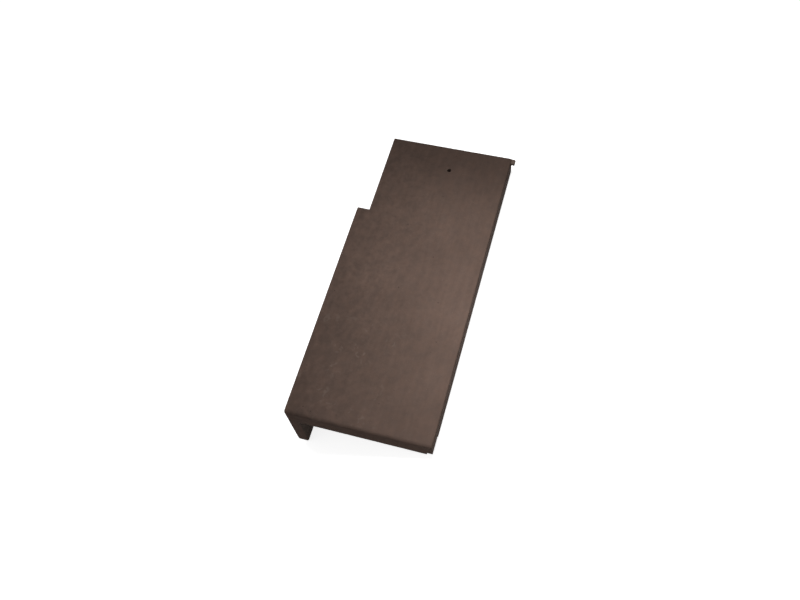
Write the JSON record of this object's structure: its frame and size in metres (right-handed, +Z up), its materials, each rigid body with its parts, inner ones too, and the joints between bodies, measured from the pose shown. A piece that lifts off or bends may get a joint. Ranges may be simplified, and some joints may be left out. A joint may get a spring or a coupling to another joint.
{
  "type": "verge tile",
  "caption": "Flat concrete roof verge tile, left-hand: hanging side flange, notched head, nail hole, batten nibs and a ribbed side lap.",
  "frame": {"origin": "on the floor, under the middle of the tile's outline as it lies at rest", "axes": "+Z up; +Y along the tile's length from the nose to the head; +X across it, from the hanging flange to the side lap. The tile lies on the foot of its flange and the foot of its outer rib, so its top face leans 22.79 degrees towards +X."},
  "size_m": [0.2108, 0.42, 0.0957],
  "materials": {
    "concrete": "matt through-coloured dark brown concrete, slightly sandy"
  },
  "bodies": {
    "root": {"verge_tile": "concrete"}
  },
  "joints": []
}
